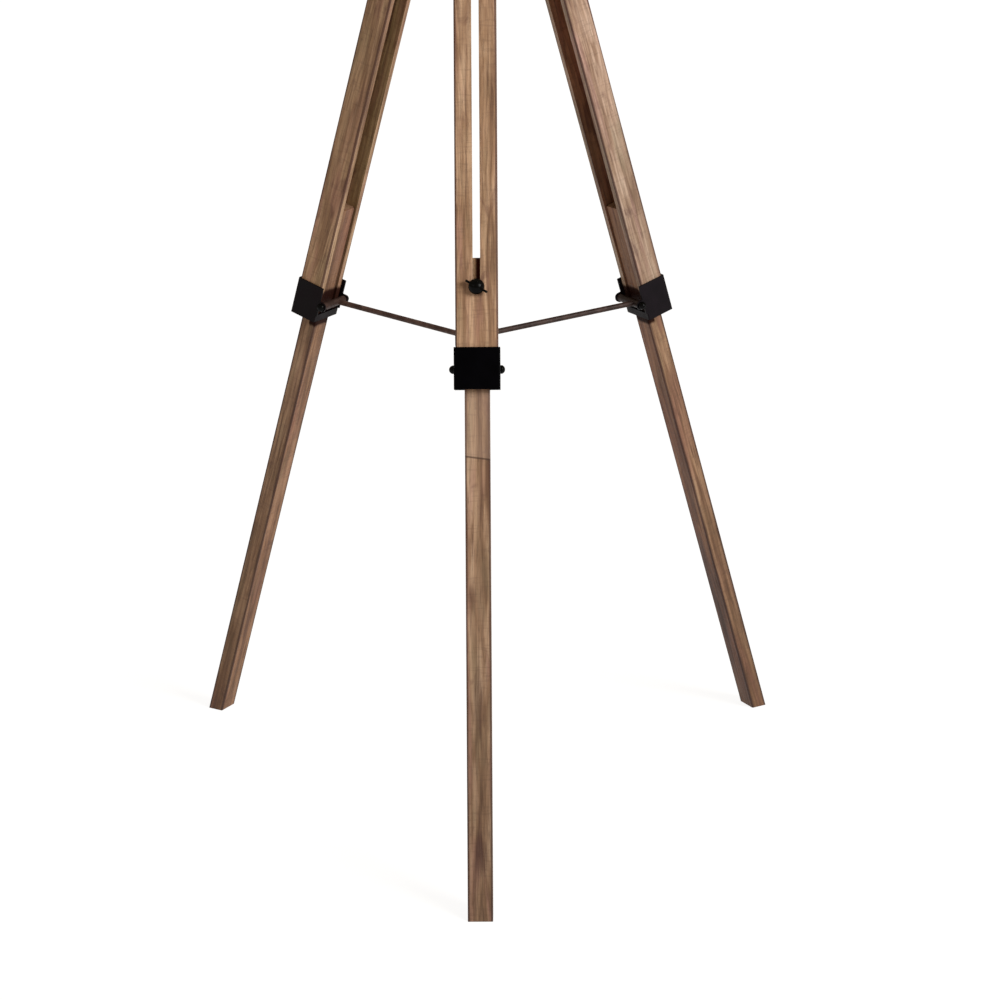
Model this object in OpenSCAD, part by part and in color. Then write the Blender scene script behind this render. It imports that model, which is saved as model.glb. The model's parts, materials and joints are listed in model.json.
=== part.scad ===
// Wooden tripod floor lamp with telescoping legs, a folding spreader and an adjustable arm.
// Millimetres, +Z up. The floor is z = 0 and the origin is the centre of the footprint's box.
// The front leg points to -Y. The arm reaches out over it.

/* [Tripod] */
// Angle of each leg from the vertical
leg_tilt = 17.2; // [16.4:0.1:18]
// Distance from the tripod's axis to the middle of each foot
foot_radius = 366; // [360:1:372]
// Height of the hinge along the leg, measured from the foot
hinge_along = 1086; // [1076:1:1100]

/* [Upper legs] */
// Width of the grooved board
board_w = 42; // [40:0.5:46]
// Thickness of the grooved board
board_t = 28; // [27:0.5:31]
// Distance that the board's middle lies outside the leg's centre line
board_out = 3.1; // [2.8:0.1:3.6]
// Lower end of the board, along the leg
board_foot = 526; // [524:1:530]
// Width of the slot that the lock bolt runs in
slot_w = 7.4; // [6.8:0.1:8.4]

/* [Lower legs] */
// Width of the sliding lower leg
slider_w = 25; // [23:0.5:26]
// Thickness of the sliding lower leg
slider_t = 18.2; // [16:0.2:18.6]
// Upper end of the lower leg when it is fully drawn out
slider_top = 652; // [645:1:660]
// Place of the lock bolt along the leg
lock_along = 623; // [615:1:630]
// How far the lower leg slides up into the board
slide_travel = 350; // [300:10:350]

/* [Collars and spreader] */
// Height of the sheet-metal collar
collar_h = 41.5; // [38:0.5:43]
// Thickness of the collar's sheet
collar_wall = 1.8; // [1.2:0.1:2]
// Place of the collar's cross bolt along the leg
ear_along = 543; // [541:1:545]
// Distance from the leg's centre line to the cross bolt, towards the tripod's axis
ear_in = 17.5; // [17.2:0.1:18]
// Diameter of the spreader rods
rod_d = 6; // [4.5:0.1:6]
// Height of the spreader's middle pivots above the floor
hub_z = 492; // [488:1:494]
// Distance from the tripod's axis to the spreader's middle pivots
hub_r = 18; // [17:0.5:19]

/* [Head] */
// Radius of the cast head plate
head_r = 70; // [70:1:76]
// Thickness of the cast head plate
head_t = 8; // [7:0.5:10]
// Height of the arm's lower pivot above the top of the head plate
stem_h = 144; // [138:1:170]
// Diameter of the stem tube
stem_d = 25; // [24:0.5:28]

/* [Arm] */
// Distance between the arm's two pivots
arm_length = 300; // [260:5:305]
// Angle of the arm above the horizontal at rest
arm_rise = 35; // [30:1:40]
// Diameter of the arm tube
arm_d = 16; // [15:0.5:18]

/* [Shade] */
// Radius of the shade's rim
shade_r = 120; // [110:1:124]
// Depth of the shade below its neck
shade_depth = 104; // [95:1:115]
// Thickness of the shade's spun sheet
shade_wall = 1; // [0.9:0.1:1.5]
// Radius of the bulb's globe
bulb_r = 30; // [28:0.5:33]

/* [Hidden] */
$fn = 96;
eps = 0.01;
SIDES = ["front", "left", "right"];
AZIMUTHS = [0, -120, 120];

WOOD = [0.55, 0.44, 0.34];
BLACK = [0.07, 0.07, 0.08];
BRONZE = [0.27, 0.19, 0.17];
STEEL = [0.62, 0.62, 0.63];
BRASS = [0.72, 0.58, 0.30];
WHITE = [0.92, 0.91, 0.88];

// The feet bound the footprint: one points forward, two point back and outward.
slider_round = 1;
foot_round = slider_round / cos(leg_tilt);
footprint_front = foot_radius + slider_t / 2 / cos(leg_tilt);
footprint_back = (footprint_front - foot_round) * sin(30)
    + (slider_w / 2 - slider_round) * cos(30)
    + norm([foot_round * sin(30), slider_round * cos(30)]);
axis_y = (footprint_front - footprint_back) / 2;

// Clearances: a pin that turns, a wooden slide, and faces that only pass each other.
pin_gap = 0.05;
slide_gap = 0.4;
face_gap = 0.35;

// Board outline, in the leg's own frame: x across, -y outward, z along the leg.
board_outer = board_out + board_t / 2;
board_inner = board_out - board_t / 2;
board_round = 1.5;
groove_w = slider_w + 2 * slide_gap;
groove_floor = slider_t / 2 + face_gap;
groove_top = slider_top + slide_travel + 8;
slot_end_gap = 1;
slot_spare = 6;
lock_d = 6;
lock_depth = 5;
lock_washer_t = 1.2;
washer_gap = 0.3;

// Leg hinge
hinge_d = 6;
hinge_in_nut = 5;
hinge_r = foot_radius - hinge_along * sin(leg_tilt) + board_out * cos(leg_tilt);
hinge_z = hinge_along * cos(leg_tilt) + board_out * sin(leg_tilt);
lug_gap = 0.9;
lug_t = 4;
lug_half = board_w / 2 + lug_gap;
washer_t = 0.5;
bracket_r = 13;
web_z = hinge_z + board_t / 2 + 5;
web_t = 4;
head_z = web_z + web_t;
head_top = head_z + head_t;
bracket_screw_radii = [hinge_r - 8, hinge_r + 9];
bracket_screw_d = 4.8;
gland_r = 8;
gland_bore_r = 3.6;

// Collar
collar_foot = ear_along - 20.5;
collar_w = board_w + 2 * collar_wall + 0.1;
collar_t = board_t + 2 * collar_wall + 0.2;
collar_round = 1.6;
ear_r = 5.4;
collar_lip = 8;
collar_flange = 3.6;
cross_d = 5;
cross_in_nut = 2.4;
cross_cap_d = 8.6;
sleeve_d = 8.4;
sleeve_gap = 0.65;

// Spreader pivots
ear_radius = foot_radius - ear_along * sin(leg_tilt) - ear_in * cos(leg_tilt);
ear_z = ear_along * cos(leg_tilt) - ear_in * sin(leg_tilt);
rod_root = [-8.5, 3, -0.2];
rod_pin_side = 5.5;
rod_pin_l = 8.5;
rod_bend = [5.5, 22, 8];
claw_in = 9.6;
claw_t = 3;

// Stem and its socket
socket_flange_r = 32;
socket_flange_t = 5;
socket_r = 18;
socket_h = 38;
socket_screw_r = 25;
socket_screw_d = 4;
clamp_screw_r = 3;
stem_foot = head_top + 6;
stem_wall = 1.5;
stem_gap = 0.08;
knuckle_z = head_top + stem_h;
clamp_z = head_top + 24;

// Knuckles: a tongue between two ears, with a bolt and a hand knob
knuckle_r = 13;
tongue_t = 9;
ear_t = 4.5;
knuckle_gap = 0.4;
knob_gap = 0.3;
pivot_d = 6;
cable_r = 3.4;
stem_top_drop = 22;
plug_l = 22;
fork_base_t = 5;
arm_fork_drop = 16;
shade_fork_drop = 24;
shade_fork_r = 9.5;
arm_plug_l = 18;
arm_wall = 1.2;
shade_pivot_y = -arm_length * cos(arm_rise);
shade_pivot_z = knuckle_z + arm_length * sin(arm_rise);

// Shade and lampholder, measured down from the shade's pivot
cap_r = 24;
cap_wall = 1.5;
cap_top = 34;
cap_h = 60;
neck_top = cap_top + 44;
neck_h = 18;
holder_r = 19;
holder_top = cap_top + 10;
holder_h = 46;
shell_r = 13.9;
shell_wall = 0.4;
shell_h = 27;
nipple_d = 10;
nipple_above = 7;
nipple_below = 6;
knuckle_base_t = 5;
cap_roof_t = 3;
well_depth = 31;
bulb_z = cap_top + cap_h + 42;
bulb_neck = 36;
bulb_in_base = 8;
switch_z = cap_top + 20;
switch_d = 4;

// ---- Frames -------------------------------------------------------------------------

// Frame with its y axis pointing from leg k to the tripod's axis, standing on the floor
module toward_leg(k) {
    translate([0, axis_y, 0]) rotate([0, 0, AZIMUTHS[k]]) children();
}

// Leg k's own frame: x across the leg, -y outward, z up along its centre line
module in_leg(k) {
    toward_leg(k) translate([0, -foot_radius, 0]) rotate([-leg_tilt, 0, 0]) children();
}

// Frame of the arm's lower pivot
module at_knuckle() {
    translate([0, axis_y, knuckle_z]) children();
}

// Arm frame: z runs along the arm from its lower pivot
module along_arm() {
    at_knuckle() rotate([90 - arm_rise, 0, 0]) children();
}

// Frame of the shade's pivot, with z pointing up
module at_shade() {
    translate([0, axis_y + shade_pivot_y, shade_pivot_z]) children();
}

// ---- Shapes -------------------------------------------------------------------------

// Rectangle with rounded corners, centred
module soft_rect(w, h, r) {
    square([w - 2 * r, h], center = true);
    square([w, h - 2 * r], center = true);
    for (x = [-1, 1], y = [-1, 1])
        translate([x * (w / 2 - r), y * (h / 2 - r)]) circle(r = r);
}

// Cylinder along x, starting at x = 0
module rod_x(r, l) {
    rotate([0, 90, 0]) cylinder(r = r, h = l);
}

// Cylinder along x, centred
module rod_x_mid(r, l) {
    rotate([0, 90, 0]) cylinder(r = r, h = l, center = true);
}

// Round bar between two points
module bar(a, b, d) {
    v = b - a;
    length = norm(v);
    translate(a) rotate([0, acos(v.z / length), atan2(v.y, v.x)]) cylinder(d = d, h = length);
}

// Domed cap of radius r and height h that grows along +z
module dome(r, h) {
    sphere_r = (r * r + h * h) / (2 * h);
    intersection() {
        translate([0, 0, h - sphere_r]) sphere(r = sphere_r);
        cylinder(r = r, h = h);
    }
}

// Cap nut or bolt head: a short round skirt with a dome on it, along +z
module cap(d, h, skirt) {
    cylinder(d = d, h = skirt);
    translate([0, 0, skirt - eps]) dome(d / 2, h - skirt + eps);
}

// Hand knob with rounded lobes on a small boss, along +x from its clamping face
module hand_knob(r, h) {
    lobes = 7;
    scallop_r = r * 0.34;
    boss_r = r * 0.55;
    boss_h = 3;
    edge = 2;
    rotate([0, 90, 0]) difference() {
        union() {
            cylinder(r = boss_r, h = boss_h);
            translate([0, 0, boss_h - eps]) cylinder(r = r, h = h - boss_h - edge);
            translate([0, 0, h - edge - 2 * eps]) cylinder(r1 = r, r2 = r - edge, h = edge);
        }
        for (i = [0 : lobes - 1])
            rotate([0, 0, i * 360 / lobes])
                translate([r * 1.12, 0, boss_h]) cylinder(r = scallop_r, h = h);
    }
}

// Hand knob that turns on the end of a pivot bolt
module pivot_knob(r, h) {
    translate([tongue_t / 2 + knuckle_gap + ear_t + knob_gap, 0, 0]) difference() {
        hand_knob(r, h);
        translate([-1, 0, 0]) rod_x(pivot_d / 2 + pin_gap, 1 + h - 5);
    }
}

// Pivot tongue with a round eye, hanging from the pivot to z = -drop, thick along x
module tongue(thickness, r, drop, bore_d) {
    difference() {
        union() {
            rod_x_mid(r, thickness);
            translate([-thickness / 2, -r, -drop]) cube([thickness, 2 * r, drop]);
        }
        rod_x_mid(bore_d / 2, thickness + 2);
    }
}

// Fork with two round ears, which opens at the pivot and joins a square base below it
module fork(r, drop) {
    inner = tongue_t / 2 + knuckle_gap;
    base_w = 2 * (inner + ear_t);
    for (side = [-1, 1])
        translate([side * (inner + ear_t / 2), 0, 0]) tongue(ear_t, r, drop, pivot_d);
    translate([-base_w / 2, -r, -drop - fork_base_t]) cube([base_w, 2 * r, fork_base_t + eps]);
}

// Pivot bolt along x: a domed head on the -x side and a plain end in the knob
module pivot_bolt(end_l) {
    half = tongue_t / 2 + knuckle_gap + ear_t;
    translate([-half, 0, 0]) rod_x(pivot_d / 2, 2 * half + end_l);
    translate([-half, 0, 0]) rotate([0, -90, 0]) cap(d = 12, h = 4.5, skirt = 1.5);
}

// ---- Legs ---------------------------------------------------------------------------

// Grooved board: its groove opens towards the tripod's axis, its slot shows outside
module upper_leg(k) {
    slot_foot = lock_along - lock_d / 2 - slot_end_gap + slot_w / 2;
    slot_head = lock_along + slide_travel + slot_spare;
    hinge_end_w = board_w - 2;
    color(WOOD) in_leg(k) difference() {
        union() {
            translate([0, -board_out, board_foot])
                linear_extrude(hinge_along - board_foot) soft_rect(board_w, board_t, board_round);
            translate([0, -board_out, hinge_along]) rod_x_mid(board_t / 2, hinge_end_w);
        }
        translate([-groove_w / 2, -groove_floor, board_foot - 1])
            cube([groove_w, board_t, groove_top - board_foot + 1]);
        translate([-slot_w / 2, -board_outer - 1, slot_foot])
            cube([slot_w, board_t / 2, slot_head - slot_foot]);
        for (z = [slot_foot, slot_head])
            translate([0, -board_outer - 1, z]) rotate([-90, 0, 0])
                cylinder(d = slot_w, h = board_t / 2);
        translate([0, -board_out, hinge_along])
            rod_x_mid(hinge_d / 2 + pin_gap, board_w + 2);
    }
}

// Sliding lower leg, with its foot cut level with the floor
module lower_leg(k) {
    foot_stock = 10;
    ground = 1000;
    color(WOOD) difference() {
        in_leg(k) difference() {
            translate([0, 0, -foot_stock]) linear_extrude(slider_top + foot_stock)
                soft_rect(slider_w, slider_t, slider_round);
            translate([0, lock_depth, lock_along]) rotate([90, 0, 0])
                cylinder(d = lock_d, h = lock_depth + slider_t);
        }
        translate([-ground / 2, -ground / 2, -2 * foot_stock])
            cube([ground, ground, 2 * foot_stock]);
    }
}

// Sheet-metal collar round the board's lower end, with two ears on the inner side
module collar(k) {
    color(BLACK) in_leg(k) {
        difference() {
            translate([0, -board_out, collar_foot]) linear_extrude(collar_h) difference() {
                soft_rect(collar_w, collar_t, collar_round);
                square([collar_w - 2 * collar_wall, collar_t - 2 * collar_wall], center = true);
            }
            translate([collar_wall - collar_w / 2, -board_out, collar_foot + collar_lip])
                cube([collar_w - 2 * collar_wall, collar_t, collar_h]);
        }
        for (side = [-1, 1]) difference() {
            union() {
                translate([side * (collar_w - collar_wall) / 2, ear_in, ear_along])
                    rod_x_mid(ear_r, collar_wall);
                translate([side * (collar_w - collar_wall) / 2 - collar_wall / 2,
                           -board_inner, ear_along - ear_r])
                    cube([collar_wall, ear_in + board_inner, 2 * ear_r]);
                translate([side * (collar_w - collar_wall) / 2 - collar_wall / 2,
                           -board_inner, collar_foot + collar_lip])
                    cube([collar_wall, collar_flange, collar_h - collar_lip]);
            }
            translate([0, ear_in, ear_along]) rod_x_mid(cross_d / 2, collar_w + 2);
        }
    }
}

// Cross bolt through the collar's ears, with its domed head
module collar_bolt(k) {
    color(BLACK) in_leg(k) translate([-collar_w / 2, ear_in, ear_along]) {
        rod_x(cross_d / 2, collar_w + cross_in_nut);
        rotate([0, -90, 0]) cap(cross_cap_d, h = 5.6, skirt = 2);
    }
}

// Domed nut on the cross bolt
module collar_nut(k) {
    color(BLACK) in_leg(k) translate([collar_w / 2, ear_in, ear_along]) difference() {
        rotate([0, 90, 0]) cap(cross_cap_d, h = 4.6, skirt = 1.8);
        translate([-1, 0, 0]) rod_x(cross_d / 2, 1 + cross_in_nut);
    }
}

// Spreader arm: a cross sleeve on the collar's bolt, and a rod whose end is bent into a pin
module spreader_arm(k) {
    sleeve_l = collar_w - 2 * collar_wall - 2 * sleeve_gap;
    ear = [0, -ear_radius, ear_z];
    start = ear + rod_root;
    bend = [rod_bend.x, -rod_bend.y, hub_z + rod_bend.z];
    tip = [rod_pin_side, -hub_r, hub_z];
    bend_d = rod_d + 0.3;
    color(BRONZE) toward_leg(k) difference() {
        union() {
            translate(ear) rod_x_mid(sleeve_d / 2, sleeve_l);
            bar(start, bend, rod_d);
            translate(bend) sphere(d = bend_d);
            bar(bend, tip, rod_d);
            translate(tip) sphere(d = bend_d);
            translate(tip) rod_x(rod_d / 2, rod_pin_l);
        }
        translate(ear) rod_x_mid(cross_d / 2 + pin_gap, sleeve_l + 2);
    }
}

// Middle of the spreader: a ring with one claw over each rod's pin, and a hole for a cable
module spreader_hub() {
    ring_r = 11.5;
    ring_hole_r = 5;
    ring_top = 17;
    ring_foot = 14;
    root_in = 1.5;
    root_out = -6;
    claw_reach = hub_r + rod_d / 2 + 3;
    claw_back = claw_reach - 2.6;
    claw_under = rod_d / 2 + 0.4;
    claw_over = 8;
    claw_tip = -3.5;
    color(BLACK) translate([0, axis_y, hub_z]) {
        translate([0, 0, ring_foot]) difference() {
            cylinder(r = ring_r, h = ring_top - ring_foot);
            translate([0, 0, -1]) cylinder(r = ring_hole_r, h = ring_top - ring_foot + 2);
        }
        for (angle = AZIMUTHS) rotate([0, 0, angle])
            translate([claw_in, 0, 0]) rotate([90, 0, 0]) rotate([0, 90, 0])
                linear_extrude(claw_t) polygon([
                    [root_in, ring_top], [root_out, ring_top], [root_out, claw_over],
                    [-claw_reach, claw_over], [-claw_reach, claw_tip], [-claw_back, claw_tip],
                    [-claw_back, claw_under], [root_in, claw_under]]);
    }
}

// Stud screwed into the lower leg's outer face, with its free end in the wing nut
module lock_bolt(k) {
    nut_face = board_outer + washer_gap + lock_washer_t;
    in_nut = 4.5;
    color(BLACK) in_leg(k) translate([0, lock_depth, lock_along])
        rotate([90, 0, 0]) cylinder(d = lock_d, h = lock_depth + nut_face + in_nut);
}

// Washer under the wing nut
module lock_washer(k) {
    color(BLACK) in_leg(k) translate([0, -board_outer - washer_gap, lock_along])
        rotate([90, 0, 0]) difference() {
            cylinder(d = 14, h = lock_washer_t);
            translate([0, 0, -1]) cylinder(d = lock_d + 0.4, h = lock_washer_t + 2);
        }
}

// Low domed wing nut with two thin wings; the back legs' wings lie along their slots
module wing_nut(k) {
    wing_t = 2.2;
    wing_h = 5.5;
    wing_reach = 9.5;
    wing_turn = k == 0 ? 29 : 90;
    boss_h = 1.5;
    nut_bore = 5;
    nut_foot = board_outer + washer_gap + lock_washer_t + 0.1;
    color(BLACK) in_leg(k) translate([0, -nut_foot, lock_along])
        rotate([90, 0, 0]) rotate([0, 0, -wing_turn]) difference() {
            union() {
                cylinder(r = 7, h = boss_h);
                translate([0, 0, boss_h - eps]) cap(d = 15.6, h = 6.5, skirt = 1.5);
                for (side = [-1, 1])
                    translate([side * wing_reach, 0, boss_h + wing_h / 2]) rotate([90, 0, 0])
                        cylinder(d = wing_h, h = wing_t, center = true);
                translate([-wing_reach, -wing_t / 2, boss_h])
                    cube([2 * wing_reach, wing_t, wing_h]);
            }
            translate([0, 0, -1]) cylinder(d = lock_d + 2 * pin_gap, h = 1 + nut_bore);
        }
}

// ---- Head ---------------------------------------------------------------------------

// Cast plate that carries the legs below and the stem above
module tripod_head() {
    edge = 1.5;
    color(BLACK) translate([0, axis_y, head_z]) difference() {
        union() {
            cylinder(r1 = head_r - edge, r2 = head_r, h = edge);
            translate([0, 0, edge]) cylinder(r = head_r, h = head_t - 2 * edge);
            translate([0, 0, head_t - edge])
                cylinder(r1 = head_r, r2 = head_r - edge, h = edge);
        }
        translate([0, 0, -1]) cylinder(r = gland_r + 0.1, h = head_t + 2);
        for (angle = AZIMUTHS, r = bracket_screw_radii) rotate([0, 0, angle])
            translate([0, -r, -1]) cylinder(d = bracket_screw_d + 0.2, h = head_t + 2);
    }
}

// Three U-shaped brackets under the head, each with two lugs beside its leg
module leg_brackets() {
    lug_drop = web_z - hinge_z;
    color(BLACK) for (k = [0 : 2]) toward_leg(k) translate([0, -hinge_r, hinge_z]) difference() {
        union() {
            for (side = [-1, 1]) translate([side * (lug_half + lug_t / 2), 0, 0]) {
                rod_x_mid(bracket_r, lug_t);
                translate([-lug_t / 2, -bracket_r, 0]) cube([lug_t, 2 * bracket_r, lug_drop]);
            }
            translate([-lug_half - lug_t, -bracket_r, lug_drop])
                cube([2 * (lug_half + lug_t), 2 * bracket_r, web_t]);
        }
        rod_x_mid(hinge_d / 2, 2 * (lug_half + lug_t) + 2);
        for (r = bracket_screw_radii) translate([0, hinge_r - r, lug_drop - 1])
            cylinder(d = bracket_screw_d, h = web_t + 2);
    }
}

// Two screws down through the head into each bracket
module bracket_screws() {
    color(STEEL) for (angle = AZIMUTHS, r = bracket_screw_radii)
        translate([0, axis_y, head_top]) rotate([0, 0, angle]) translate([0, -r, 0]) {
            translate([0, 0, -head_t - web_t]) cylinder(d = bracket_screw_d, h = head_t + web_t);
            cap(d = 8.5, h = 3, skirt = 0.8);
        }
}

// Hinge bolts of the legs, held in the lugs
module leg_hinge_bolts() {
    half = lug_half + lug_t;
    color(BLACK) for (k = [0 : 2]) toward_leg(k) translate([0, -hinge_r, hinge_z]) {
        translate([-half, 0, 0]) rod_x(hinge_d / 2, 2 * half + hinge_in_nut);
        translate([-half, 0, 0]) rotate([0, -90, 0]) cap(d = 11, h = 4.5, skirt = 1.5);
    }
}

// Domed nuts on the hinge bolts
module leg_hinge_nuts() {
    half = lug_half + lug_t;
    color(BLACK) for (k = [0 : 2])
        toward_leg(k) translate([half, -hinge_r, hinge_z]) difference() {
            rotate([0, 90, 0]) cap(d = 11, h = 8, skirt = 3.5);
            translate([-1, 0, 0]) rod_x(hinge_d / 2, 1 + hinge_in_nut);
        }
}

// Nylon washers between each leg and its lugs
module hinge_washers() {
    color(WHITE) for (k = [0 : 2], side = [-1, 1])
        toward_leg(k) translate([side * (lug_half - washer_t / 2), -hinge_r, hinge_z])
            difference() {
                rod_x_mid(8, washer_t);
                rod_x_mid(hinge_d / 2, washer_t + 1);
            }
}

// Cable gland under the middle of the head: a threaded body and a compression cone
module cable_gland() {
    flange_t = 4;
    barrel_h = 8;
    cone_h = 7;
    foot = flange_t + barrel_h + cone_h;
    above = 5;
    color(BLACK) translate([0, axis_y, head_z]) difference() {
        union() {
            cylinder(r = gland_r, h = head_t + above);
            translate([0, 0, -flange_t]) cylinder(r = gland_r + 3, h = flange_t);
            translate([0, 0, -flange_t - barrel_h]) cylinder(r = 8.5, h = barrel_h + eps);
            translate([0, 0, -foot]) cylinder(r1 = 5.6, r2 = 8.5, h = cone_h);
        }
        translate([0, 0, -foot - 1]) cylinder(r = gland_bore_r, h = foot + head_t + above + 2);
    }
}

// Hexagon nut that holds the gland in the head
module gland_nut() {
    nut_h = 4;
    color(BLACK) translate([0, axis_y, head_top]) difference() {
        cylinder(d = 20, h = nut_h, $fn = 6);
        translate([0, 0, -1]) cylinder(r = gland_r, h = nut_h + 2);
    }
}

// Turned socket that the stem swivels in
module stem_socket() {
    nut_room_r = 10.3;
    color(BLACK) translate([0, axis_y, head_top]) difference() {
        union() {
            cylinder(r = socket_flange_r, h = socket_flange_t);
            cylinder(r = socket_r, h = socket_h);
        }
        translate([0, 0, socket_flange_t]) cylinder(r = stem_d / 2 + stem_gap, h = socket_h);
        translate([0, 0, -1]) cylinder(r = nut_room_r, h = socket_flange_t + 2);
        translate([0, 0, clamp_z - head_top]) rod_x(clamp_screw_r + pin_gap, socket_r + 1);
        for (angle = AZIMUTHS) rotate([0, 0, angle + 60])
            translate([0, -socket_screw_r, -1])
                cylinder(d = socket_screw_d, h = socket_flange_t + 2);
    }
}

// Screws through the socket's flange
module socket_screws() {
    color(STEEL) translate([0, axis_y, head_top + socket_flange_t])
        for (angle = AZIMUTHS) rotate([0, 0, angle + 60]) translate([0, -socket_screw_r, 0]) {
            translate([0, 0, -socket_flange_t]) cylinder(d = socket_screw_d, h = socket_flange_t);
            cap(d = 7, h = 2.6, skirt = 0.7);
        }
}

// Thumbscrew that clamps the stem
module stem_thumbscrew() {
    tip = stem_d / 2 + 0.4;
    knob_x = socket_r + 2;
    color(BLACK) translate([0, axis_y, clamp_z]) {
        translate([tip, 0, 0]) rod_x(clamp_screw_r, knob_x + 4 - tip);
        translate([knob_x, 0, 0]) hand_knob(r = 10, h = 11);
    }
}

// ---- Stem and arm -------------------------------------------------------------------

module stem_tube() {
    length = knuckle_z - stem_top_drop - stem_foot;
    color(BLACK) translate([0, axis_y, stem_foot]) difference() {
        cylinder(d = stem_d, h = length);
        translate([0, 0, -1]) cylinder(r = stem_d / 2 - stem_wall, h = length + 2);
    }
}

// Plug in the stem's top with the tongue of the lower knuckle
module stem_knuckle() {
    collar_t = 6;
    color(BLACK) at_knuckle() difference() {
        union() {
            tongue(tongue_t, knuckle_r, stem_top_drop - collar_t / 2, pivot_d);
            translate([0, 0, -stem_top_drop]) cylinder(d = stem_d, h = collar_t);
            translate([0, 0, -stem_top_drop - plug_l])
                cylinder(r = stem_d / 2 - stem_wall, h = plug_l + eps);
        }
        translate([0, 0, -stem_top_drop - plug_l - 1]) cylinder(r = cable_r, h = plug_l + 12);
        rod_x_mid(pivot_d / 2 + pin_gap, tongue_t + 2);
    }
}

module arm_pivot_bolt() {
    color(BLACK) at_knuckle() pivot_bolt(8);
}

module arm_knob() {
    color(BLACK) at_knuckle() pivot_knob(r = 15, h = 14);
}

// Fork of the lower knuckle, with a plug for the arm tube
module arm_knuckle() {
    color(BLACK) along_arm() difference() {
        union() {
            rotate([180, 0, 0]) fork(knuckle_r, arm_fork_drop);
            translate([0, 0, arm_fork_drop + fork_base_t - eps])
                cylinder(r = arm_d / 2 - arm_wall, h = arm_plug_l);
        }
        translate([0, 0, arm_fork_drop - 1]) cylinder(r = cable_r, h = 2 * arm_plug_l);
    }
}

module arm_tube() {
    foot = arm_fork_drop + fork_base_t;
    length = arm_length - foot - shade_fork_drop - fork_base_t;
    color(BLACK) along_arm() translate([0, 0, foot]) difference() {
        cylinder(d = arm_d, h = length);
        translate([0, 0, -1]) cylinder(r = arm_d / 2 - arm_wall, h = length + 2);
    }
}

// Fork of the upper knuckle, at the arm's end
module shade_fork() {
    color(BLACK) along_arm() translate([0, 0, arm_length]) difference() {
        union() {
            fork(shade_fork_r, shade_fork_drop);
            translate([0, 0, -shade_fork_drop - fork_base_t - arm_plug_l])
                cylinder(r = arm_d / 2 - arm_wall, h = arm_plug_l + eps);
        }
        translate([0, 0, -shade_fork_drop - 2 * arm_plug_l])
            cylinder(r = cable_r, h = 2 * arm_plug_l + 1);
    }
}

module shade_pivot_bolt() {
    color(BLACK) at_shade() pivot_bolt(7);
}

module shade_knob() {
    color(BLACK) at_shade() pivot_knob(r = 12, h = 12);
}

// ---- Shade and lampholder -----------------------------------------------------------

module shade_knuckle() {
    color(BLACK) at_shade() difference() {
        union() {
            tongue(tongue_t, shade_fork_r - 0.5, cap_top - knuckle_base_t,
                   pivot_d + 2 * pin_gap);
            translate([0, 0, -cap_top]) cylinder(r = 12, h = knuckle_base_t + eps);
        }
        translate([0, 0, -cap_top - 1]) cylinder(d = nipple_d, h = nipple_above + 1);
    }
}

// Closed cup over the lampholder, with a row of vent holes near its top
module socket_cap() {
    vents = 10;
    vent_r = 2.2;
    color(BLACK) at_shade() translate([0, 0, -cap_top - cap_h]) difference() {
        union() {
            cylinder(r = cap_r, h = cap_h - cap_roof_t);
            translate([0, 0, cap_h - cap_roof_t - eps])
                cylinder(r1 = cap_r, r2 = cap_r - cap_roof_t, h = cap_roof_t);
        }
        translate([0, 0, -1]) cylinder(r = cap_r - cap_wall, h = cap_h - cap_roof_t + 1);
        translate([0, 0, cap_h - cap_roof_t - 1]) cylinder(d = nipple_d, h = cap_roof_t + 2);
        for (i = [0 : vents - 1]) rotate([0, 0, (i + 0.5) * 360 / vents])
            translate([cap_r - 5, 0, cap_h - 10]) rod_x(vent_r, 8);
        translate([0, 0, cap_top + cap_h - switch_z]) rod_x(switch_d / 2 + 1, cap_r + 2);
    }
}

// Threaded tube that holds the knuckle, the cap and the lampholder together
module socket_nipple() {
    length = holder_top + nipple_below - cap_top + nipple_above - 1;
    color(STEEL) at_shade() translate([0, 0, -holder_top - nipple_below]) difference() {
        cylinder(d = nipple_d, h = length);
        translate([0, 0, -1]) cylinder(r = cable_r, h = length + 2);
    }
}

// Glazed lampholder, with a well for the screw shell
module lampholder() {
    shoulder = 6;
    color(WHITE) at_shade() translate([0, 0, -holder_top - holder_h]) difference() {
        union() {
            cylinder(r = holder_r, h = holder_h - shoulder);
            translate([0, 0, holder_h - shoulder - eps])
                cylinder(r1 = holder_r, r2 = holder_r - shoulder, h = shoulder);
        }
        translate([0, 0, -1]) cylinder(r = shell_r + shell_wall, h = well_depth + 1);
        translate([0, 0, holder_h - nipple_below]) cylinder(d = nipple_d, h = nipple_below + 2);
        translate([0, 0, well_depth - 1]) cylinder(r = cable_r, h = holder_h - well_depth);
        translate([holder_r - 4, 0, holder_top + holder_h - switch_z])
            rod_x(switch_d / 2 + pin_gap, 6);
    }
}

// Thin brass shell that the bulb screws into
module screw_shell() {
    color(BRASS) at_shade() translate([0, 0, -holder_top - holder_h + 3]) difference() {
        cylinder(r = shell_r + shell_wall, h = shell_h);
        translate([0, 0, -1]) cylinder(r = shell_r, h = shell_h + 2);
    }
}

// Sprung contact at the bottom of the lampholder's well
module centre_contact() {
    well = -holder_top - holder_h + well_depth;
    strip_w = 6;
    strip_l = 18;
    strip_t = 0.8;
    color(BRASS) at_shade() {
        translate([-strip_w / 2, -strip_l / 2, well - strip_t]) cube([strip_w, strip_l, strip_t]);
        translate([0, 0, well - 3.5]) cylinder(d = strip_w, h = 3);
    }
}

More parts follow.
